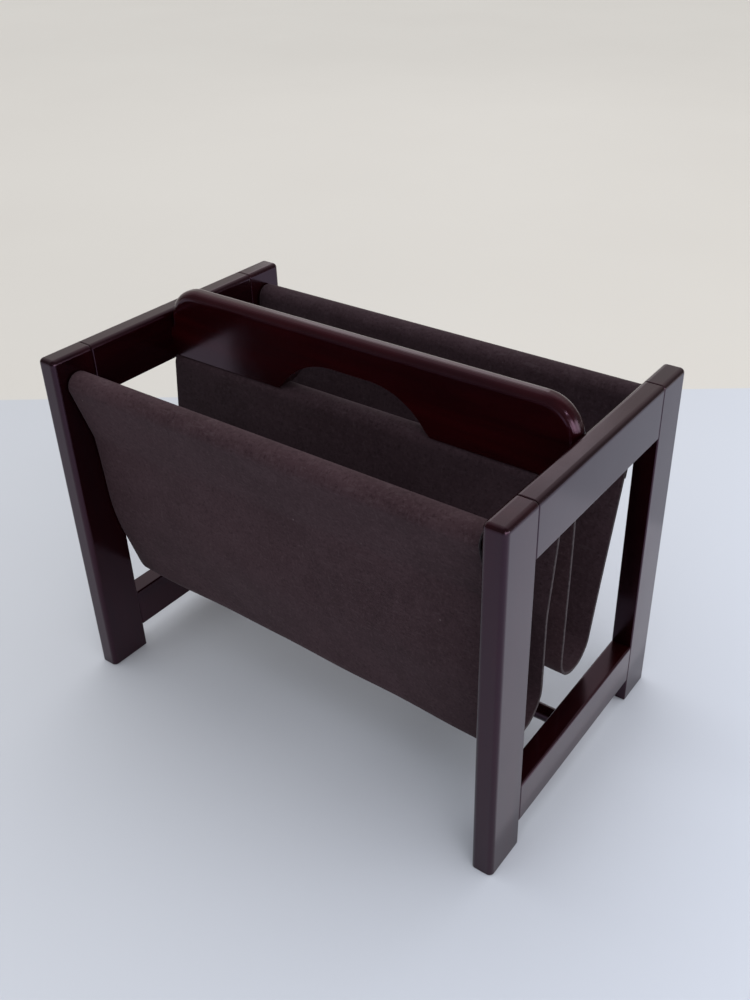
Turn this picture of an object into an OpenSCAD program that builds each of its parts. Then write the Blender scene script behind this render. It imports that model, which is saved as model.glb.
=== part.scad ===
// Magazine holder: two glued hardwood end frames joined by three dowel rods, with a leather
// sling hung over the rods to make two open pockets, and a handle board on the centre line.
// Millimetres. +Z is up, X runs along the length, and the origin is the middle of the
// footprint on the floor.

/* [End frames] */
// Overall length along X
frame_w = 470; // [450:5:500]
// Overall depth along Y
frame_d = 292; // [288:1:300]
// Height of the end frames
frame_h = 342; // [338:1:352]
// Thickness of the legs and rails along X
post_t = 20; // [20:0.5:24]
// Width of a leg along Y
leg_w = 43; // [40:1:44]
// Height of an upper rail
upper_rail_h = 48; // [46:1:52]
// Height of a lower rail
lower_rail_h = 41; // [36:1:48]
// Underside of a lower rail above the floor
lower_rail_z = 27; // [20:1:32]

/* [Edges] */
// Radius of the outer edges and top ends of the legs, and of an upper rail's top edges
edge_r = 4.5; // [2:0.5:5]
// Radius of a lower rail's top edges
low_edge_r = 2; // [1:0.5:3]
// Radius where a rail meets a leg, which leaves a fine groove at each joint
joint_r = 1.3; // [0.8:0.1:1.8]
// Easing of all other edges
ease = 0.8; // [0.4:0.1:1.2]

/* [Rods] */
// Diameter of the three rods that carry the sling
rod_d = 18; // [14:1:18]
// Distance of the front and back rods from the centre line
rod_y = 124; // [122:1:126]
// Drop of the front and back rods below the frame top
rod_drop = 28; // [26:1:30]
// Drop of the centre rod below the frame top
centre_rod_drop = 53; // [52:1:56]
// Diameter of the lower stretcher
stretcher_d = 15; // [12:1:18]
// Depth of the blind sockets for the rods and the stretcher
socket_depth = 12; // [8:1:14]

/* [Handle board] */
// Thickness of the handle board along Y
board_t = 19; // [18:0.5:22]
// Height of the board's top above the frame top
board_rise = 25; // [18:1:30]
// Radius of the board's top corners
board_corner_r = 34; // [26:1:40]
// Radius of the rounded-over top edge
board_edge_r = 8; // [4:0.5:8.5]
// Length of the hand hole at the board's lower edge
hand_hole_w = 160; // [130:2:170]
// Height of the hand hole
hand_hole_h = 35; // [28:1:38]
// Length of the straight part at the top of the hand hole
hand_hole_flat = 40; // [20:2:60]

/* [Leather sling] */
// Thickness of the leather
leather_t = 2.7; // [2:0.1:3]
// Width of the hide along X
leather_w = 422; // [400:1:424]
// Sideways shift of the hide on its rods
leather_shift = -2.5; // [-2.5:0.5:2.5]
// Height of the front pocket's lowest line
front_pocket_z = 77; // [62:0.5:90]
// Height of the back pocket's lowest line
back_pocket_z = 76; // [62:0.5:90]
// Distance below a rod at which its sleeve closes
sleeve_drop = 56; // [45:1:65]
// Length of the glued lap below a sleeve
lap_len = 14; // [8:1:20]

/* [Fasteners] */
// Diameter of the joint dowels
dowel_d = 8; // [6:0.5:8]
// Length of a joint dowel inside a leg
dowel_in_leg = 10; // [8:0.5:10]
// Length of a joint dowel inside a rail
dowel_in_rail = 22; // [15:1:30]
// Length of a board dowel inside the handle board
dowel_in_board = 20; // [15:1:24]
// Shank diameter of the centre rod's screws
screw_d = 4; // [3:0.5:5]
// Length of a centre rod screw
screw_len = 40; // [34:1:42]

/* [Hidden] */

wood = [0.24, 0.10, 0.11];
beech = [0.78, 0.62, 0.42];
steel = [0.70, 0.71, 0.73];
hide = [0.27, 0.22, 0.22];

fit = 0.05;                             // radial room round a glued dowel or rod
end_room = 0.5;                         // room at the blind end of a bore
past = 1;                               // how far a cutter runs past a face
inner_x = frame_w / 2 - post_t;         // inner face of an end frame
mid_x = frame_w / 2 - post_t / 2;       // middle plane of an end frame
joint_y = frame_d / 2 - leg_w;          // face where a rail meets a leg
upper_rail_z = frame_h - upper_rail_h;
rod_z = frame_h - rod_drop;
centre_rod_z = frame_h - centre_rod_drop;
stretcher_z = lower_rail_z + lower_rail_h / 2;
dowel_margin = 10;                      // from a dowel's axis to the edge of a rail or board
upper_dowel_z = [frame_h - dowel_margin, upper_rail_z + dowel_margin];
lower_dowel_z = [lower_rail_z + dowel_margin, lower_rail_z + lower_rail_h - dowel_margin];

rod_r = rod_d / 2;
soft_gap = 0.3;                         // room between the leather and what it touches
saddle_r = rod_r + soft_gap;            // inside of the leather where it wraps a rod
wrap_r = saddle_r + leather_t;          // outside of the leather where it wraps a rod
mid_r = saddle_r + leather_t / 2;       // middle line of the leather where it wraps a rod

board_top_z = frame_h + board_rise;
cove_depth = 2;                         // cove in the board's foot, over the centre rod
board_bottom_z = centre_rod_z + wrap_r - cove_depth;
board_dowel_pitch = 18;
board_dowel_z = [board_bottom_z + dowel_margin, board_bottom_z + dowel_margin + board_dowel_pitch];
flare_r = 4;                            // eased foot of the hand hole
screw_x = [100, 175];
screw_head_d = 2 * screw_d - 0.4;
screw_head_h = 2.4;
screw_tip = 4;                          // length of a screw's taper
counterbore = 5;                        // depth of the recess that takes a screw head
screw_seat_z = centre_rod_z - rod_r + counterbore;

arc_steps = 8;                          // facets in a quarter turn of a rounded edge
fine_steps = 3;                         // the same for an eased edge

// ---- outlines ----------------------------------------------------------------------------

function unit(v) = v / norm(v);
function left_of(v) = [-v[1], v[0]];
function arc(c, r, a0, a1, n) = [for (i = [0 : n]) let (a = a0 + (a1 - a0) * i / n)
    c + r * [cos(a), sin(a)]];
function bearing(v) = atan2(v[1], v[0]);
function join(lists) = [for (l = lists) for (p = l) p];
function backwards(l) = [for (i = [len(l) - 1 : -1 : 0]) l[i]];

// Facets for a rounded corner of radius r
function steps(r) = r < low_edge_r ? fine_steps : arc_steps;

// Rectangle w by h from the origin, with its own radius at each corner: r starts at the
// origin's corner and goes round anticlockwise.
function soft_rect(w, h, r) = join([
    arc([r[0], r[0]], r[0], 180, 270, steps(r[0])),
    arc([w - r[1], r[1]], r[1], 270, 360, steps(r[1])),
    arc([w - r[2], h - r[2]], r[2], 0, 90, steps(r[2])),
    arc([r[3], h - r[3]], r[3], 90, 180, steps(r[3]))
]);

// Points on the fillet of radius r at corner b, on the way from a to c.
function fillet(a, b, c, r) =
    let (u = unit(a - b), v = unit(c - b))
    let (half = acos(u * v) / 2)
    let (centre = b + unit(u + v) * r / sin(half))
    let (p = b + u * r / tan(half), q = b + v * r / tan(half))
    let (a0 = bearing(p - centre), turn = bearing(q - centre) - a0)
    let (sweep = turn > 180 ? turn - 360 : turn < -180 ? turn + 360 : turn)
    arc(centre, r, a0, a0 + sweep, ceil(abs(sweep) / 7));

// A path through corners [y, z, radius], rounded at every corner but its two ends.
function soft_path(k) = join([
    [[k[0][0], k[0][1]]],
    join([for (i = [1 : len(k) - 2])
        fillet([k[i - 1][0], k[i - 1][1]], [k[i][0], k[i][1]], [k[i + 1][0], k[i + 1][1]], k[i][2])]),
    [[k[len(k) - 1][0], k[len(k) - 1][1]]]
]);

// The two sides of a strip of the given thickness along a path, as one closed outline.
function normal_at(p, i) = left_of(unit(p[min(i + 1, len(p) - 1)] - p[max(i - 1, 0)]));
function strip(p, t) = join([
    [for (i = [0 : len(p) - 1]) p[i] + normal_at(p, i) * t / 2],
    backwards([for (i = [0 : len(p) - 1]) p[i] - normal_at(p, i) * t / 2])
]);

// Where the tangent from p touches the circle c, r: side is 1 or -1.
function tangent_angle(p, c, r, side) = bearing(p - c) + side * acos(r / norm(p - c));

// Extrusions of an outline drawn in (Y, Z), (X, Z) or (X, Y)
module along_x(x0, x1) translate([x0, 0, 0]) rotate([90, 0, 90]) linear_extrude(x1 - x0) children();
module along_y(y0, y1) translate([0, y1, 0]) rotate([90, 0, 0]) linear_extrude(y1 - y0) children();
module along_z(z0, z1) translate([0, 0, z0]) linear_extrude(z1 - z0) children();

// Round bars and bores
module bar_x(x0, x1, y, z, d) translate([x0, y, z]) rotate([0, 90, 0]) cylinder(d = d, h = x1 - x0, $fn = 64);
module bar_y(y0, y1, x, z, d) translate([x, y0, z]) rotate([-90, 0, 0]) cylinder(d = d, h = y1 - y0, $fn = 48);
module bar_z(z0, z1, x, y, d) translate([x, y, z0]) cylinder(d = d, h = z1 - z0, $fn = 48);

// Sides of the object: the blanks below are drawn for the right end and the front.
module on_side(sx, sy = -1) mirror([sx < 0 ? 1 : 0, 0, 0]) mirror([0, sy > 0 ? 1 : 0, 0]) children();

// ---- end frames --------------------------------------------------------------------------

// Half ball on a plane, as the rounded top corner of a leg
module dome(r)
    rotate_extrude($fn = 4 * arc_steps)
        polygon(join([[[0, 0]], arc([0, 0], r, 0, 90, arc_steps)]));

// Upright edge of a leg, eased at the foot, up to z1
module leg_edge(x, y, r, z1) {
    translate([x, y, 0]) {
        cylinder(r1 = r - ease, r2 = r, h = ease, $fn = 4 * arc_steps);
        translate([0, 0, ease]) cylinder(r = r, h = z1 - ease, $fn = 4 * arc_steps);
    }
}

module leg_blank() {
    top = frame_h - edge_r;
    hull()
        for (x = [inner_x, frame_w / 2], turn = x == inner_x ? 1 : -1) {
            leg_edge(x + turn * edge_r, edge_r - frame_d / 2, edge_r, top);
            translate([x + turn * edge_r, edge_r - frame_d / 2, top]) dome(edge_r);
            leg_edge(x + turn * joint_r, -joint_y - joint_r, joint_r, top);
            // the top edge, which rounds over where it meets the rail
            for (a = [0 : 90 / fine_steps : 90])
                translate([x + turn * edge_r, -joint_y - joint_r * (1 - sin(a)), top])
                    rotate([90, 0, 0])
                        cylinder(r = edge_r - joint_r * (1 - cos(a)), h = 1, $fn = 4 * arc_steps);
        }
}

module leg(sx, sy) {
    on_side(sx, sy) difference() {
        leg_blank();
        bar_x(inner_x - past, inner_x + socket_depth, -rod_y, rod_z, rod_d + 2 * fit);
        for (z = concat(upper_dowel_z, lower_dowel_z))
            bar_y(-joint_y - dowel_in_leg - end_room, -joint_y + past, mid_x, z, dowel_d + 2 * fit);
    }
}

// A rail between the two legs of the right end frame, with top edges of radius r
module rail_blank(z0, h, r) {
    intersection() {
        along_z(z0, z0 + h)
            translate([inner_x, -joint_y])
                polygon(soft_rect(post_t, 2 * joint_y, [joint_r, joint_r, joint_r, joint_r]));
        along_y(-joint_y, joint_y)
            translate([inner_x, z0])
                polygon(soft_rect(post_t, h, [ease, ease, r, r]));
        along_x(inner_x - past, frame_w / 2 + past)
            translate([-joint_y, z0])
                polygon(soft_rect(2 * joint_y, h, [ease, ease, joint_r, joint_r]));
    }
}

module rail_dowel_bores(heights) {
    for (z = heights, sy = [-1, 1])
        on_side(1, sy)
            bar_y(-joint_y - past, -joint_y + dowel_in_rail + end_room, mid_x, z, dowel_d + 2 * fit);
}

module upper_rail(sx) {
    on_side(sx) difference() {
        rail_blank(upper_rail_z, upper_rail_h, edge_r);
        rail_dowel_bores(upper_dowel_z);
        for (z = board_dowel_z)
            bar_x(inner_x - past, inner_x + socket_depth + end_room, 0, z, dowel_d + 2 * fit);
    }
}

module lower_rail(sx) {
    on_side(sx) difference() {
        rail_blank(lower_rail_z, lower_rail_h, low_edge_r);
        rail_dowel_bores(lower_dowel_z);
        bar_x(inner_x - past, inner_x + socket_depth, 0, stretcher_z, stretcher_d + 2 * fit);
    }
}

module frame_dowels(sx, heights) {
    for (z = heights, sy = [-1, 1])
        on_side(sx, sy) bar_y(-joint_y - dowel_in_leg, -joint_y + dowel_in_rail, mid_x, z, dowel_d);
}

// ---- rods --------------------------------------------------------------------------------

// Round bar across both end frames, a little short of the bottoms of its two sockets
module cross_bar(y, z, d) {
    reach = inner_x + socket_depth - end_room;
    bar_x(-reach, reach, y, z, d);
}

module screw_pattern() for (x = screw_x, sx = [-1, 1]) translate([sx * x, 0, 0]) children();

module centre_rod_body() {
    difference() {
        bar_x(leather_shift - leather_w / 2 + 2, leather_shift + leather_w / 2 - 2, 0, centre_rod_z, rod_d);
        screw_pattern() {
            bar_z(centre_rod_z - rod_r - past, screw_seat_z, 0, 0, screw_head_d + 1);
            bar_z(centre_rod_z - rod_r - past, centre_rod_z + rod_r + past, 0, 0, screw_d + 2 * fit);
        }
    }
}

module screw() {
    bar_z(screw_seat_z - screw_head_h, screw_seat_z, 0, 0, screw_head_d);
    bar_z(screw_seat_z - screw_head_h / 2, screw_seat_z + screw_len - screw_tip, 0, 0, screw_d);
    translate([0, 0, screw_seat_z + screw_len - screw_tip])
        cylinder(d1 = screw_d, d2 = screw_d / 4, h = screw_tip, $fn = 48);
}

// ---- handle board ------------------------------------------------------------------------

// Half of the board's face outline: straight end, rounded top corner
function board_outline() = join([
    [[-inner_x, board_bottom_z], [inner_x, board_bottom_z]],
    arc([inner_x - board_corner_r, board_top_z - board_corner_r], board_corner_r, 0, 90, 2 * arc_steps),
    arc([board_corner_r - inner_x, board_top_z - board_corner_r], board_corner_r, 90, 180, 2 * arc_steps)
]);

// Hand hole in the board's lower edge: a flat top between two large arcs, flared at the foot
function hand_hole_side() =
    let (reach = (hand_hole_w - hand_hole_flat) / 2)
    let (r = (reach * reach + hand_hole_h * hand_hole_h) / (2 * hand_hole_h))
    let (foot = asin((r - hand_hole_h) / r))
    join([
        [[hand_hole_w / 2 + flare_r / 2, board_bottom_z - past]],
        [[hand_hole_w / 2 + flare_r / 2, board_bottom_z]],
        arc([hand_hole_flat / 2, board_bottom_z + hand_hole_h - r], r, foot + 5, 90, 24)
    ]);
function hand_hole() = join([hand_hole_side(), backwards([for (p = hand_hole_side()) [-p[0], p[1]]])]);

// Section of the waste that a rounding cutter removes from the front top edge, drawn in
// (distance inside the edge, Y): it starts clear of the board and ends on the front face.
function waste() = join([
    [[-2, -board_t / 2 - 2], [-2, -board_t / 2 + board_edge_r], [0, -board_t / 2 + board_edge_r]],
    arc([board_edge_r, -board_t / 2 + board_edge_r], board_edge_r, 180, 270, arc_steps),
    [[board_edge_r, -board_t / 2 - 2]]
]);

// The cutter's pass along one half of the front top edge, with its run-out on the board's end.
module edge_cut() {
    corner = [inner_x - board_corner_r, 0, board_top_z - board_corner_r];
    along_x(-past, corner[0])
        polygon([for (p = waste()) [p[1], board_top_z - p[0]]]);
    translate(corner)
        rotate([90, 0, 0])
            rotate_extrude(angle = 90, $fn = 96)
                polygon([for (p = waste()) [board_corner_r - p[0], -p[1]]]);
    translate([inner_x + board_edge_r, 0, corner[2]])
        rotate([90, 0, 0])
            rotate_extrude($fn = 64)
                polygon([for (p = waste()) [board_edge_r + p[0], -p[1]]]);
}

module handle_board_body() {
    difference() {
        along_y(-board_t / 2, board_t / 2) polygon(board_outline());
        for (sx = [-1, 1], sy = [-1, 1]) on_side(sx, sy) edge_cut();
        along_y(-board_t, board_t) polygon(hand_hole());
        // cove that seats on the leather over the centre rod
        bar_x(-frame_w, frame_w, 0, centre_rod_z, 2 * (wrap_r + soft_gap));
        for (sx = [-1, 1], z = board_dowel_z)
            on_side(sx)
                bar_x(inner_x - dowel_in_board - end_room, inner_x + past, 0, z, dowel_d + 2 * fit);
        screw_pattern()
            bar_z(board_bottom_z - past, screw_seat_z + screw_len + 1, 0, 0, screw_d + 2 * fit);
    }
}

module board_dowel_set() {
    for (sx = [-1, 1], z = board_dowel_z)
        on_side(sx) bar_x(inner_x - dowel_in_board, inner_x + socket_depth, 0, z, dowel_d);
}

// ---- leather sling -----------------------------------------------------------------------

// Middle line of the hide in (Y, Z), as corners [y, z, radius]. The front pocket hangs slack
// and full, the back pocket hangs straighter and narrower.
front_seam = [-rod_y + 6, rod_z - sleeve_drop];
back_seam = [rod_y - 16, rod_z - sleeve_drop];
front_floor = front_pocket_z + leather_t / 2;
back_floor = back_pocket_z + leather_t / 2;
front_pocket = [
    [front_seam[0], front_seam[1], 0], [-111.5, 170, 240], [-88.5, front_floor, 27],
    [-24, front_floor, 28], [-24.5, 178, 160], [-14.6, 246, 150], [-mid_r, centre_rod_z, 0]
];
back_pocket = [
    [mid_r, centre_rod_z, 0], [13, 246, 150], [11.5, back_floor, 26],
    [58.5, back_floor, 25], [back_seam[0], back_seam[1], 0]
];
function saddle() = arc([0, centre_rod_z], mid_r, 175, 5, 24);
function hide_line() = join([soft_path(front_pocket), saddle(), soft_path(back_pocket)]);

// Sleeve round a rod at c. seam is the end of the hide's middle line, up points along the
// wall there, and flap (1 or -1) is the side of the wall that the folded layer is glued to.
module sleeve(c, seam, up, flap) {
    n = left_of(up);
    face = seam - n * flap * leather_t / 2;
    back = seam + n * flap * leather_t * 1.5;
    tip = seam + n * flap * leather_t / 2 + up * 2;
    lap_end = -up * lap_len;
    difference() {
        polygon(join([
            [face - up * 0.5],
            wrap_arc(c, wrap_r, face, back, flap),
            [back, back + lap_end, back + lap_end - n * flap * leather_t * 1.2]
        ]));
        polygon(join([[tip], wrap_arc(c, saddle_r, tip, tip, flap)]));
    }
}

// The arc over the top of circle c, r between its tangents from points p and q
function wrap_arc(c, r, p, q, flap) =
    let (a = tangent_angle(p, c, r, flap), b = tangent_angle(q, c, r, -flap))
    let (turn = flap > 0 ? (b - a + 720) % 360 : -((a - b + 720) % 360))
    arc(c, r, a, a + turn, 30);

module sling_section() {
    polygon(strip(hide_line(), leather_t));
    sleeve([-rod_y, rod_z], front_seam, unit(front_seam - [front_pocket[1][0], front_pocket[1][1]]), -1);
    sleeve([rod_y, rod_z], back_seam, unit(back_seam - [back_pocket[3][0], back_pocket[3][1]]), -1);
}

module sling_body() {
    difference() {
        along_x(leather_shift - leather_w / 2, leather_shift + leather_w / 2) sling_section();
        screw_pattern() bar_z(centre_rod_z, board_bottom_z + 10, 0, 0, screw_d + 1);
    }
}

// ---- sub-parts ---------------------------------------------------------------------------

module left_front_leg() color(wood) leg(-1, -1);
module left_back_leg() color(wood) leg(-1, 1);
module right_front_leg() color(wood) leg(1, -1);
module right_back_leg() color(wood) leg(1, 1);
module left_upper_rail() color(wood) upper_rail(-1);
module right_upper_rail() color(wood) upper_rail(1);
module left_lower_rail() color(wood) lower_rail(-1);
module right_lower_rail() color(wood) lower_rail(1);
module left_upper_dowels() color(beech) frame_dowels(-1, upper_dowel_z);
module left_lower_dowels() color(beech) frame_dowels(-1, lower_dowel_z);
module right_upper_dowels() color(beech) frame_dowels(1, upper_dowel_z);
module right_lower_dowels() color(beech) frame_dowels(1, lower_dowel_z);
module front_rod() color(wood) cross_bar(-rod_y, rod_z, rod_d);
module back_rod() color(wood) cross_bar(rod_y, rod_z, rod_d);
module centre_rod() color(wood) centre_rod_body();
module lower_stretcher() color(wood) cross_bar(0, stretcher_z, stretcher_d);
module handle_board() color(wood) handle_board_body();
module board_dowels() color(beech) board_dowel_set();
module centre_rod_screws() color(steel) screw_pattern() screw();
module leather_sling() color(hide) sling_body();

left_front_leg();
left_back_leg();
right_front_leg();
right_back_leg();
left_upper_rail();
right_upper_rail();
left_lower_rail();
right_lower_rail();
left_upper_dowels();
left_lower_dowels();
right_upper_dowels();
right_lower_dowels();
front_rod();
back_rod();
centre_rod();
lower_stretcher();
handle_board();
board_dowels();
centre_rod_screws();
leather_sling();
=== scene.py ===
"""Magazine holder: lacquered wood end frames, rods and handle board from the CAD frame, and a
detailed leather sling built from its section. Metres, in the frame of the CAD model."""

import math

import bmesh
import bpy
import numpy as np
from mathutils import Matrix, Vector


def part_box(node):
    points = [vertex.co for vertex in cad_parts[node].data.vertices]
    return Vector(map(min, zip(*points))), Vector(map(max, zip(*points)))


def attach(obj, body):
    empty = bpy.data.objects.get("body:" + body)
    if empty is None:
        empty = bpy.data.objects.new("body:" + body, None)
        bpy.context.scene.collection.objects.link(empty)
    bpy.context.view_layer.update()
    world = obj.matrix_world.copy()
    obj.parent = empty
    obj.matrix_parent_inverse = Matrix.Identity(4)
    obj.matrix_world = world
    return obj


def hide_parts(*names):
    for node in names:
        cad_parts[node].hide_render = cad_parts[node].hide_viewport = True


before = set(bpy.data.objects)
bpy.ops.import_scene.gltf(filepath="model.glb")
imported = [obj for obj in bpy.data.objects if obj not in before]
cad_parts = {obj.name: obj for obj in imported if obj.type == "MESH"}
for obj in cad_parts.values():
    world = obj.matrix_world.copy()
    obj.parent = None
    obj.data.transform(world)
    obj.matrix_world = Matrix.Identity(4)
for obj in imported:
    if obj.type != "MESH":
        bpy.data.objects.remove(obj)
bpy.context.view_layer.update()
MM = 0.001

# ---- what the frame says -----------------------------------------------------------------


def centre(node):
    lo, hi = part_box(node)
    return (Vector(lo) + Vector(hi)) / 2


def span(node, axis):
    lo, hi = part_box(node)
    return lo[axis], hi[axis]


FRONT_ROD = centre("front_rod")
BACK_ROD = centre("back_rod")
CENTRE_ROD = centre("centre_rod")
ROD_R = (span("front_rod", 2)[1] - span("front_rod", 2)[0]) / 2
SLING_X0, SLING_X1 = span("leather_sling", 0)
SLING_LOW = span("leather_sling", 2)[0]

# ---- small helpers for node trees --------------------------------------------------------


class Tree:
    """A material's node tree, with short calls to add nodes and links."""

    SETTINGS = ("operation", "feature")   # inputs of add() that are settings, not sockets

    def __init__(self, name):
        self.mat = bpy.data.materials.new(name)
        self.mat.use_nodes = True
        self.nodes = self.mat.node_tree.nodes
        self.links = self.mat.node_tree.links
        self.nodes.clear()
        self.out = self.nodes.new("ShaderNodeOutputMaterial")
        self.bsdf = self.nodes.new("ShaderNodeBsdfPrincipled")
        self.links.new(self.bsdf.outputs[0], self.out.inputs[0])
        self.coord = self.nodes.new("ShaderNodeTexCoord").outputs["Object"]

    def put(self, socket, value):
        if isinstance(value, bpy.types.NodeSocket):
            self.links.new(value, socket)
        elif hasattr(value, "__len__") and len(value) == 3 and socket.type == "RGBA":
            socket.default_value = (*value, 1.0)
        else:
            socket.default_value = value

    def add(self, kind, out=0, **inputs):
        """Add a node. Inputs go by name, or by number as i0, i1; out is the output to return."""
        node = self.nodes.new(kind)
        for key in self.SETTINGS:
            if key in inputs:
                setattr(node, key, inputs.pop(key))
        for key, value in inputs.items():
            numbered = key[0] == "i" and key[1:].isdigit()
            socket = int(key[1:]) if numbered else key.replace("_", " ")
            self.put(node.inputs[socket], value)
        return node.outputs[out]

    def scaled(self, vector, scale):
        return self.add("ShaderNodeVectorMath", operation="MULTIPLY", i0=vector, i1=scale)

    def noise(self, vector, scale, detail=4.0, rough=0.55, distortion=0.0):
        return self.add("ShaderNodeTexNoise", Vector=vector, Scale=scale, Detail=detail,
                        Roughness=rough, Distortion=distortion)

    def math(self, operation, a, b=0.0):
        return self.add("ShaderNodeMath", operation=operation, i0=a, i1=b)

    def span(self, value, lo, hi, to_lo=0.0, to_hi=1.0):
        node = self.nodes.new("ShaderNodeMapRange")
        node.interpolation_type = "SMOOTHSTEP"
        for i, v in enumerate((value, lo, hi, to_lo, to_hi)):
            self.put(node.inputs[i], v)
        return node.outputs[0]

    def mix(self, fac, a, b, blend="MIX"):
        node = self.nodes.new("ShaderNodeMix")
        node.data_type = "RGBA"
        node.blend_type = blend
        self.put(node.inputs[0], fac)
        self.put(node.inputs[6], a)
        self.put(node.inputs[7], b)
        return node.outputs[2]

    def bump(self, height, strength, distance, normal=None):
        node = self.nodes.new("ShaderNodeBump")
        node.inputs["Strength"].default_value = strength
        node.inputs["Distance"].default_value = distance
        self.put(node.inputs["Height"], height)
        if normal is not None:
            self.put(node.inputs["Normal"], normal)
        return node.outputs[0]

    def set(self, **values):
        for key, value in values.items():
            self.put(self.bsdf.inputs[key.replace("_", " ")], value)


# ---- materials ---------------------------------------------------------------------------

FRAME_STAIN = ((0.0030, 0.0003, 0.0006), (0.0115, 0.0007, 0.0011))   # its dark and red parts
BOARD_STAIN = ((0.0075, 0.0007, 0.0012), (0.0270, 0.0014, 0.0021))
GRAIN_LINE = (0.0025, 0.0002, 0.0004)


def lacquered_wood(name, along, stain):
    """Very dark mahogany stain under a satin lacquer, with the grain along one axis."""
    t = Tree(name)
    stretch = [95.0, 95.0, 95.0]
    stretch[along] = 5.0
    fibres = t.scaled(t.coord, stretch)
    wide = [14.0, 14.0, 14.0]
    wide[along] = 1.2
    figure = t.noise(t.scaled(t.coord, wide), 1.0, 5.0, 0.6, 0.6)
    grain = t.noise(fibres, 1.0, 6.0, 0.65, 0.3)
    pores = t.noise(t.scaled(fibres, (3.2, 3.2, 3.2)), 1.0, 3.0, 0.6)
    tone = t.mix(t.span(figure, 0.3, 0.72), *stain)
    tone = t.mix(t.span(grain, 0.38, 0.75, 0.0, 0.55), tone, GRAIN_LINE)
    t.set(Base_Color=tone)
    haze = t.noise(t.coord, 24.0, 3.0, 0.5)
    scuff = t.noise(t.scaled(t.coord, (420.0, 420.0, 420.0)), 1.0, 2.0, 0.5)
    rough = t.math("ADD", t.span(haze, 0.3, 0.7, 0.15, 0.20), t.span(scuff, 0.5, 0.85, 0.0, 0.04))
    t.set(Roughness=rough, IOR=1.47, Specular_Tint=(1.0, 0.64, 0.92))
    ripple = t.noise(t.coord, 40.0, 1.0, 0.5)
    n = t.bump(ripple, 0.05, 0.0010)
    n = t.bump(pores, 0.05, 0.0002, n)
    cells = t.add("ShaderNodeTexVoronoi", feature="F1", Vector=t.coord, Scale=14.0)
    dents = t.span(cells, 0.010, 0.030, 0.0, 1.0)
    n = t.bump(dents, 0.30, 0.0005, n)
    t.set(Normal=n)
    return t.mat


def leather(name, edge=False, shade=1.0):
    """Matte dark brown nubuck, mottled, streaked and lightly rubbed; or its raw cut edge.

    shade below 1 darkens it: painted shade for the side that faces into the pockets."""
    t = Tree(name)
    cloud = t.noise(t.coord, 9.0, 4.0, 0.62, 0.5)
    patch = t.noise(t.coord, 36.0, 4.0, 0.7, 0.3)
    nap = t.noise(t.coord, 330.0, 3.0, 0.75)
    pores = t.noise(t.coord, 900.0, 2.0, 0.6)
    if edge:
        base = t.mix(t.span(nap, 0.35, 0.7), (0.034, 0.028, 0.031), (0.062, 0.053, 0.057))
    else:
        base = t.mix(t.span(cloud, 0.32, 0.68), (0.0300, 0.0157, 0.0193), (0.0400, 0.0218, 0.0265))
        base = t.mix(t.span(patch, 0.40, 0.72, 0.0, 0.6), base, (0.0465, 0.0268, 0.0320))
        base = t.mix(t.span(nap, 0.52, 0.70, 0.0, 0.55), base, (0.0600, 0.0370, 0.0430))
        base = t.mix(t.span(nap, 0.48, 0.32, 0.0, 0.60), base, (0.0165, 0.0080, 0.0103))
    streaks = t.noise(t.scaled(t.coord, (52.0, 40.0, 340.0)), 1.0, 2.0, 0.5, 1.6)
    strokes = t.noise(t.scaled(t.coord, (300.0, 60.0, 62.0)), 1.0, 2.0, 0.5, 1.8)
    rubbed = t.math("MAXIMUM", t.span(streaks, 0.60, 0.72), t.span(strokes, 0.62, 0.74))
    base = t.mix(t.math("MULTIPLY", rubbed, 0.28), base, (0.0720, 0.0500, 0.0560))
    specks = t.add("ShaderNodeTexVoronoi", feature="F1", Vector=t.coord, Scale=24.0)
    base = t.mix(t.span(specks, 0.030, 0.014, 0.0, 0.45), base, (0.1500, 0.1200, 0.1250))
    # painted shade: a darker copy of the same leather for the inside of the pockets
    if shade < 1.0:
        base = t.mix(1.0, base, (shade * 0.96, shade, shade * 1.04), "MULTIPLY")
    t.set(Base_Color=base, Roughness=t.span(cloud, 0.3, 0.7, 0.74, 0.86), IOR=1.45)
    t.set(Sheen_Weight=0.04, Sheen_Roughness=0.5, Sheen_Tint=(0.92, 0.76, 0.84))
    t.bsdf.inputs["Specular IOR Level"].default_value = 0.10
    n = t.bump(cloud, 0.15, 0.002)
    n = t.bump(nap, 0.30, 0.0006, n)
    n = t.bump(pores, 0.15, 0.0002, n)
    t.set(Normal=n)
    return t.mat


def plain_beech(name):
    t = Tree(name)
    grain = t.noise(t.scaled(t.coord, (220.0, 22.0, 220.0)), 1.0, 5.0, 0.6, 0.4)
    t.set(Base_Color=t.mix(grain, (0.60, 0.42, 0.25), (0.42, 0.27, 0.14)), Roughness=0.62)
    t.set(Normal=t.bump(grain, 0.3, 0.0003))
    return t.mat


def zinc_steel(name):
    t = Tree(name)
    marks = t.noise(t.scaled(t.coord, (900.0, 900.0, 120.0)), 1.0, 4.0, 0.6)
    t.set(Base_Color=(0.62, 0.62, 0.60), Metallic=1.0, Roughness=t.span(marks, 0.3, 0.7, 0.28, 0.42))
    t.set(Normal=t.bump(marks, 0.15, 0.0002))
    return t.mat


WOOD = {axis: lacquered_wood(f"wood_along_{'xyz'[axis]}", axis, FRAME_STAIN) for axis in range(3)}
BOARD_WOOD = lacquered_wood("board_wood", 0, BOARD_STAIN)
HIDE = leather("leather")
HIDE_EDGE = leather("leather_edge", edge=True)
# the same leather darkened as painted shade, for the side facing into the pockets
HIDE_INSIDE_SHADED = leather("leather_inside_shaded", shade=0.78)
BEECH = plain_beech("beech")
ZINC = zinc_steel("zinc_steel")


def material_for(node):
    if "dowels" in node:
        return BEECH
    if "screws" in node:
        return ZINC
    if node == "handle_board":
        return BOARD_WOOD
    if "leg" in node:
        return WOOD[2]
    if "rail" in node:
        return WOOD[1]
    return WOOD[0]


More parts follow.
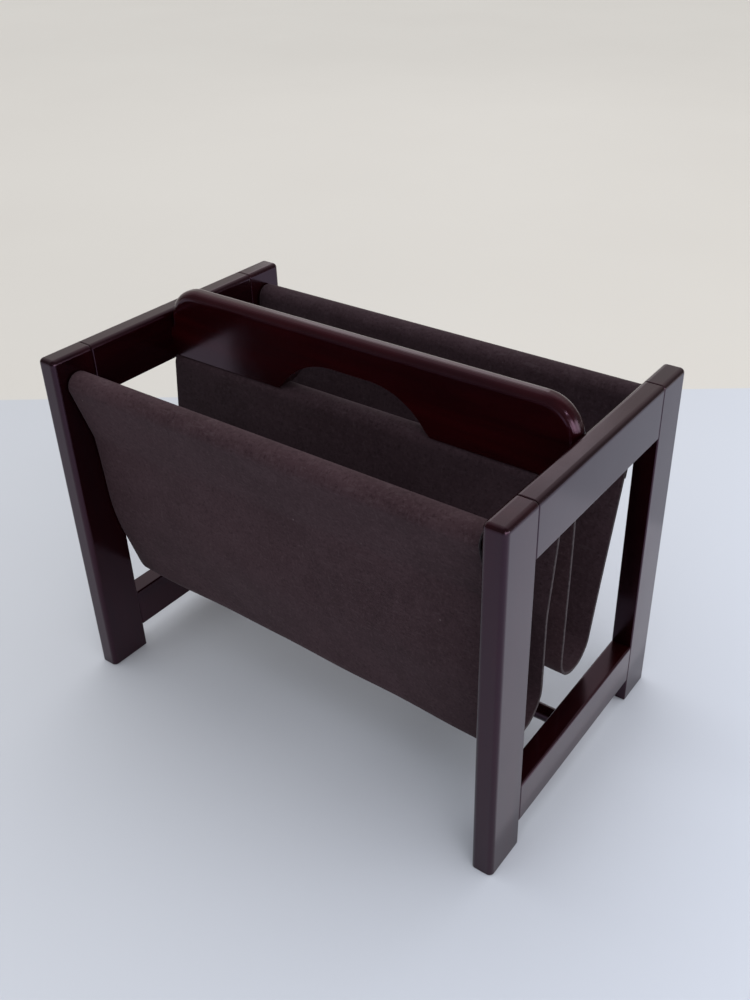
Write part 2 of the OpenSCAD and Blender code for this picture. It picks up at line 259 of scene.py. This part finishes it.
for node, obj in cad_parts.items():
    if node == "leather_sling":
        continue
    obj.data.materials.clear()
    obj.data.materials.append(material_for(node))
    for poly in obj.data.polygons:
        poly.use_smooth = True
    weighted = obj.modifiers.new("flat_faces", "WEIGHTED_NORMAL")
    weighted.mode = "FACE_AREA"
    weighted.weight = 90
    weighted.keep_sharp = True

# ---- leather sling -----------------------------------------------------------------------

LEATHER_T = 2.7 * MM
ROOM = 0.3 * MM                       # between the leather and a rod
WRAP_R = ROD_R + ROOM + LEATHER_T / 2  # middle line of the leather on a rod
LAP = 14 * MM
STEP = 5.5 * MM                       # longest step along the section
COLUMN = 8 * MM                       # spacing of the columns along X
SOFT_EDGE = 0.7 * MM                  # rounding of the cut edges
FRONT_SEAM = (6, -56)                 # where a sleeve closes, from its rod in (Y, Z), mm
BACK_SEAM = (-16, -56)
LEFT_HANG = (4.0 * MM, 2.5 * MM)      # how far the front pocket's floor is lifted and moved back
RIGHT_HANG = (-4.5 * MM, -2.5 * MM)


def unit(v):
    return v / np.linalg.norm(v)


def yz(y, z):
    return np.array([y, z], float)


def arc(c, r, a0, a1, n):
    angles = np.radians(np.linspace(a0, a1, n + 1))
    return [c + r * yz(math.cos(a), math.sin(a)) for a in angles]


def bearing(v):
    return math.degrees(math.atan2(v[1], v[0]))


def fillet(a, b, c, r, n):
    """Points of an arc of radius r that rounds corner b of the path a, b, c."""
    u, v = unit(a - b), unit(c - b)
    half = math.acos(float(u @ v)) / 2
    mid = b + unit(u + v) * r / math.sin(half)
    p, q = b + u * r / math.tan(half), b + v * r / math.tan(half)
    a0 = bearing(p - mid)
    turn = (bearing(q - mid) - a0 + 180) % 360 - 180
    return arc(mid, r, a0, a0 + turn, n)


def touch(p, c, r, side):
    """Bearing of the point where the tangent from p meets the circle c, r."""
    d = p - c
    return bearing(d) + side * math.degrees(math.acos(r / np.linalg.norm(d)))


def section(floor_shift, swing):
    """Middle line of the whole hide in (Y, Z), from the front flap's end to the back flap's.

    floor_shift lifts the front pocket's floor and swing moves it back, so that the two ends
    of the sling can hang a little differently."""
    front_rod = yz(FRONT_ROD.y, FRONT_ROD.z)
    back_rod = yz(BACK_ROD.y, BACK_ROD.z)
    middle = yz(CENTRE_ROD.y, CENTRE_ROD.z)
    floor = SLING_LOW + LEATHER_T / 2
    front_floor = floor + 1 * MM + floor_shift
    back_floor = floor
    seam_f = front_rod + yz(*FRONT_SEAM) * MM
    seam_b = back_rod + yz(*BACK_SEAM) * MM
    wall_f = yz(-111.5 * MM, 170 * MM)
    # each corner: place, radius in mm, facets
    path = [
        (wall_f, 240, 10),
        (yz(-88.5 * MM + swing, front_floor), 27, 14),
        (yz(-24 * MM + swing / 2, front_floor), 28, 14),
        (yz(-24.5 * MM, 178 * MM), 160, 4),
        (yz(-14.6 * MM, 246 * MM), 150, 4),
    ]
    back = [
        (yz(13 * MM, 246 * MM), 150, 4),
        (yz(11.5 * MM, back_floor), 26, 14),
        (yz(58.5 * MM, back_floor), 25, 14),
    ]
    points = []

    # front flap, up the inside, over the rod and down the outside to the seam
    up = unit(seam_f - wall_f)
    inward = yz(up[1], -up[0])
    inner = seam_f + inward * LEATHER_T
    a_in = touch(inner, front_rod, WRAP_R, 1)
    a_out = touch(seam_f, front_rod, WRAP_R, -1)
    while a_out < a_in:
        a_out += 360
    over = arc(front_rod, WRAP_R, a_in, a_out, 34)
    points += [inner - up * LAP]
    points += fillet(inner - up * LAP, inner, over[0], 25 * MM, 3)
    points += over
    points += fillet(over[-1], seam_f, wall_f, 30 * MM, 3)

    corners = [seam_f] + [p for p, _, _ in path] + [middle + yz(-WRAP_R, 0)]
    for i, (p, r, n) in enumerate(path):
        points += fillet(corners[i], p, corners[i + 2], r * MM, n)
    points += arc(middle, WRAP_R, 176, 4, 28)
    corners = [middle + yz(WRAP_R, 0)] + [p for p, _, _ in back] + [seam_b]
    for i, (p, r, n) in enumerate(back):
        points += fillet(corners[i], p, corners[i + 2], r * MM, n)

    # back wall to its rod, over the rod from inside, and the flap down the outer face
    up = unit(seam_b - back[-1][0])
    outward = yz(up[1], -up[0])
    outer = seam_b + outward * LEATHER_T
    b_in = touch(seam_b, back_rod, WRAP_R, -1)
    b_out = touch(outer, back_rod, WRAP_R, 1)
    while b_out > b_in:
        b_out -= 360
    over = arc(back_rod, WRAP_R, b_in, b_out, 34)
    points += fillet(back[-1][0], seam_b, over[0], 30 * MM, 3)
    points += over
    points += fillet(over[-1], outer, outer - up * LAP, 25 * MM, 3)
    points += [outer - up * LAP]
    return np.array(points)


def divided(line, counts=None):
    """The line with its long steps cut up; counts keeps two lines in step with each other."""
    steps = np.linalg.norm(np.diff(line, axis=0), axis=1)
    counts = np.maximum(1, np.ceil(steps / STEP)).astype(int) if counts is None else counts
    out = [line[0]]
    for a, b, n in zip(line[:-1], line[1:], counts):
        out += [a + (b - a) * k / n for k in range(1, n + 1)]
    return np.array(out), counts


def build_sling():
    left, counts = divided(section(*LEFT_HANG))
    right, _ = divided(section(*RIGHT_HANG), counts)
    mean = (left + right) / 2
    along = np.concatenate([[0], np.cumsum(np.linalg.norm(np.diff(mean, axis=0), axis=1))])
    length = along[-1]
    width = SLING_X1 - SLING_X0

    # freedom: how far each point of the section is from a rod or a glued lap, from 0 to 1
    free = np.ones(len(mean))
    for rod in (FRONT_ROD, BACK_ROD, CENTRE_ROD):
        gap = np.linalg.norm(mean - yz(rod.y, rod.z), axis=1)
        free = np.minimum(free, np.clip((gap - 75 * MM) / (60 * MM), 0, 1))
    free = free * free * (3 - 2 * free)

    # ring of one station: a rounded rectangle in (x, offset from the middle line)
    half, soft = LEATHER_T / 2, SOFT_EDGE
    columns = np.linspace(SLING_X0 + soft, SLING_X1 - soft, max(2, round(width / COLUMN)))
    corner = [(math.sin(a), 1 - math.cos(a)) for a in np.radians([22.5, 45, 67.5, 90])]
    ring = [(x, half) for x in columns]
    ring += [(SLING_X1 - soft + soft * s, half - soft * c) for s, c in corner]
    ring += [(SLING_X1 - soft + soft * s, -half + soft * c) for s, c in reversed(corner)]
    ring += [(x, -half) for x in reversed(columns)]
    ring += [(SLING_X0 + soft - soft * s, -half + soft * c) for s, c in corner]
    ring += [(SLING_X0 + soft - soft * s, half - soft * c) for s, c in reversed(corner)]
    ring = np.array(ring)
    n_cols, n_ring, n_corner = len(columns), len(ring), len(corner)

    # the flaps' ends are rounded over by thinning the ring in two short extra stations
    stations = [(0, 0.45, 0.0), (0, 0.80, 0.3 * MM), (0, 1.0, 0.9 * MM)]
    stations += [(i, 1.0, None) for i in range(1, len(mean) - 1)]
    last = len(mean) - 1
    stations += [(last, 1.0, -0.9 * MM), (last, 0.80, -0.3 * MM), (last, 0.45, 0.0)]

    def wave(x, s):
        """Slow unevenness of a hanging hide, in metres, from a few fixed sine waves."""
        u, v = (x - SLING_X0) / width, s / length
        return (0.55 * math.sin(2 * math.pi * (1.1 * u + 2.3 * v) + 0.7)
                + 0.40 * math.sin(2 * math.pi * (2.3 * u - 3.1 * v) + 2.1)
                + 0.25 * math.sin(2 * math.pi * (3.9 * u + 6.2 * v) + 4.0)) * MM

    verts = []
    for i, thin, shift in stations:
        for x, offset in ring:
            u = (x - SLING_X0) / width
            a, b = max(i - 1, 0), min(i + 1, last)
            pa = left[a] * (1 - u) + right[a] * u
            pb = left[b] * (1 - u) + right[b] * u
            p = left[i] * (1 - u) + right[i] * u
            tangent = unit(pb - pa)
            normal = yz(-tangent[1], tangent[0])
            if shift is not None:
                p = p + tangent * shift
            p = p + normal * (offset * thin + wave(x, along[i]) * free[i])
            verts.append((x, p[0], p[1]))
    faces, sides = [], []                 # sides: 0 grain, 1 cut edge, 2 inner side, its leather darkened as painted shade
    rows = len(stations)
    for r in range(rows - 1):
        for j in range(n_ring):
            k = (j + 1) % n_ring
            f = (r * n_ring + j, r * n_ring + k, (r + 1) * n_ring + k, (r + 1) * n_ring + j)
            on_side = (n_cols - 1 <= j < n_cols + 2 * n_corner) or (j >= 2 * n_cols + 2 * n_corner - 1)
            faces.append(f)
            if on_side or r < 2 or r >= rows - 3:
                sides.append(1)
            else:
                # 2 is the inner side, which takes the leather with painted shade
                sides.append(2 if j < n_cols else 0)
    # close the two flap ends with strips between the outer and the inner side
    whole = n_cols + 2 * n_corner

    def opposite(j):
        return (2 * n_cols + 2 * n_corner - 1 - j) % n_ring

    for base, flip in ((0, False), ((rows - 1) * n_ring, True)):
        order = [(-k) % n_ring for k in range(n_corner, 0, -1)] + list(range(whole - n_corner))
        for a, b in zip(order[:-1], order[1:]):
            f = [base + a, base + opposite(a), base + opposite(b), base + b]
            if len(set(f)) < 3:
                continue
            faces.append(tuple(reversed(f)) if flip else tuple(f))
            sides.append(1)

    mesh = bpy.data.meshes.new("sling")
    mesh.from_pydata(verts, [], faces)
    mesh.validate()
    bm = bmesh.new()
    bm.from_mesh(mesh)
    bmesh.ops.remove_doubles(bm, verts=bm.verts, dist=1e-7)
    bmesh.ops.recalc_face_normals(bm, faces=bm.faces)
    bm.to_mesh(mesh)
    bm.free()
    for material in (HIDE, HIDE_EDGE, HIDE_INSIDE_SHADED):
        mesh.materials.append(material)
    for poly, side in zip(mesh.polygons, sides):
        poly.material_index = side
        poly.use_smooth = True
    obj = bpy.data.objects.new("sling", mesh)
    bpy.context.collection.objects.link(obj)
    return obj, width, length


sling, sling_width, sling_length = build_sling()
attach(sling, "root")
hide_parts("leather_sling")

# ---- floor, light and camera -------------------------------------------------------------

CAMERA_AT = Vector((0.5069, -0.6341, 0.7266))
AZIMUTH, ELEVATION, ROLL = math.radians(35.832), math.radians(32.247), math.radians(-0.910)
FOCAL = 1.05137                       # in image heights
PRINCIPAL = (0.02971, 0.01167)        # optical axis right of and above the middle, in heights
BACKDROP = 1.420                      # from the camera to where the floor's tone changes
BACKDROP_BLEND = 0.002                # half the width of that change
FLOOR_REACH = 14.0                    # half the side of the floor


def make_camera():
    data = bpy.data.cameras.new("camera")
    cam = bpy.data.objects.new("camera", data)
    bpy.context.collection.objects.link(cam)
    forward = Vector((-math.sin(AZIMUTH) * math.cos(ELEVATION),
                      math.cos(AZIMUTH) * math.cos(ELEVATION), -math.sin(ELEVATION)))
    level = Vector((math.cos(AZIMUTH), math.sin(AZIMUTH), 0.0))
    upright = level.cross(forward)
    right = level * math.cos(ROLL) + upright * math.sin(ROLL)
    up = upright * math.cos(ROLL) - level * math.sin(ROLL)
    turn = Matrix((right, up, -forward)).transposed().to_4x4()
    cam.matrix_world = Matrix.Translation(CAMERA_AT) @ turn
    data.sensor_width = 36.0
    data.lens = 36.0 * FOCAL
    data.shift_x, data.shift_y = -PRINCIPAL[0], -PRINCIPAL[1]
    data.clip_start, data.clip_end = 0.01, 50.0
    bpy.context.scene.camera = cam


def make_floor():
    t = Tree("floor")
    facing = (-math.sin(AZIMUTH), math.cos(AZIMUTH), 0.0)
    reach = t.add("ShaderNodeVectorMath", out=1, operation="DOT_PRODUCT", i0=t.coord, i1=facing)
    edge = BACKDROP + facing[0] * CAMERA_AT.x + facing[1] * CAMERA_AT.y
    backdrop = t.span(reach, edge - BACKDROP_BLEND, edge + BACKDROP_BLEND)
    cloud = t.noise(t.coord, 1.6, 3.0, 0.5)
    sideways = t.add("ShaderNodeSeparateXYZ", Vector=t.coord)
    # painted light: the near floor grows lighter and bluer towards +X, where a window's light falls
    cool_with_painted_light = t.mix(t.span(sideways, -0.5, 0.9), (0.485, 0.502, 0.535), (0.575, 0.620, 0.715))
    cool_with_painted_light = t.mix(t.math("MULTIPLY", cloud, 0.3), cool_with_painted_light, (0.56, 0.58, 0.62))
    warm = t.mix(cloud, (0.560, 0.536, 0.497), (0.595, 0.574, 0.533))
    t.set(Base_Color=t.mix(backdrop, cool_with_painted_light, warm), Roughness=0.6)
    t.bsdf.inputs["Specular IOR Level"].default_value = 0.2
    mesh = bpy.data.meshes.new("floor")
    s = FLOOR_REACH
    mesh.from_pydata([(-s, -s, 0), (s, -s, 0), (s, s, 0), (-s, s, 0)], [], [(0, 1, 2, 3)])
    mesh.materials.append(t.mat)
    floor = bpy.data.objects.new("floor", mesh)
    bpy.context.collection.objects.link(floor)


WALL_SIDE = (-0.600, 0.700, 0.390)    # the pale wall of the room: left and behind
WALL_RAMP = (0.30, 0.82, 0.17, 0.68)  # from, to, and the world's strength there
WALL_COLOUR = (1.0, 0.955, 0.905, 1.0)
CEILING = (2.62, 112, (0.95, 0.98, 1.03))      # strength, angle in degrees, colour
CEILING_TILT = (0.06, 0.04, -1.0)
LAMP_AT = (1.9, -1.6, 2.3)            # middle of the pair of small lamps
LAMP_SPREAD = 0.22

# name, place, aim, size, watts, colour
AREA_LIGHTS = (
    ("wall_glow", (-1.45, 2.28, 1.60), (0, 0, 0.3), (1.25, 1.05), 3.2, (1.0, 0.96, 0.99)),
    ("side_window", (3.6, 1.0, 0.9), (0, 0, 0.2), (3.0, 1.4), 40.0, (1.0, 0.97, 0.97)),
    ("front_window", (3.3, -1.8, 1.05), (0, 0, 0.25), (2.2, 1.6), 46.0, (1.0, 0.95, 0.95)),
    # lies on the floor and stands in for its daylight in the outer faces of the right legs
    ("bounce", (0.50, 0.14, 0.004), (0.50, 0.14, 1.0), (0.50, 0.52), 0.19, (0.95, 0.94, 1.0)),
)


def area_light(name, at, towards, size, power, colour):
    """Rectangular light that the camera doesn't see, aimed at a point."""
    data = bpy.data.lights.new(name, "AREA")
    data.shape = "RECTANGLE"
    data.size, data.size_y = size
    data.energy = power
    data.color = colour
    light = bpy.data.objects.new(name, data)
    light.location = at
    light.rotation_mode = "QUATERNION"
    light.rotation_quaternion = (Vector(towards) - Vector(at)).to_track_quat("-Z", "Y")
    light.visible_camera = False
    bpy.context.collection.objects.link(light)


def make_world():
    """Even grey surroundings that grow lighter towards the wall."""
    world = bpy.data.worlds.new("studio")
    world.use_nodes = True
    nodes, links = world.node_tree.nodes, world.node_tree.links
    background = nodes["Background"]
    direction = nodes.new("ShaderNodeTexCoord").outputs["Generated"]
    dot = nodes.new("ShaderNodeVectorMath")
    dot.operation = "DOT_PRODUCT"
    dot.inputs[1].default_value = WALL_SIDE
    links.new(direction, dot.inputs[0])
    ramp = nodes.new("ShaderNodeMapRange")
    ramp.interpolation_type = "SMOOTHSTEP"
    for socket, value in zip(list(ramp.inputs)[1:5], WALL_RAMP):
        socket.default_value = value
    links.new(dot.outputs["Value"], ramp.inputs[0])
    background.inputs[0].default_value = WALL_COLOUR
    links.new(ramp.outputs[0], background.inputs[1])
    bpy.context.scene.world = world


def make_lights():
    data = bpy.data.lights.new("ceiling", "SUN")
    strength, angle, data.color = CEILING
    data.energy, data.angle = strength, math.radians(angle)
    ceiling = bpy.data.objects.new("ceiling", data)
    ceiling.rotation_mode = "QUATERNION"
    ceiling.rotation_quaternion = Vector(CEILING_TILT).to_track_quat("-Z", "Y")
    ceiling.visible_glossy = False        # so wide a disc would veil every rounded edge
    bpy.context.collection.objects.link(ceiling)
    for light in AREA_LIGHTS:
        area_light(*light)
    for i, side in enumerate((-LAMP_SPREAD, LAMP_SPREAD)):
        at = (LAMP_AT[0] + side, LAMP_AT[1] + side, LAMP_AT[2])
        area_light(f"lamp_{i}", at, (0, 0, 0.34), (0.16, 0.30), 1.6, (1, 1, 1))


make_camera()
make_floor()
make_world()
make_lights()
bpy.context.scene.view_settings.view_transform = "Standard"
bpy.context.view_layer.update()
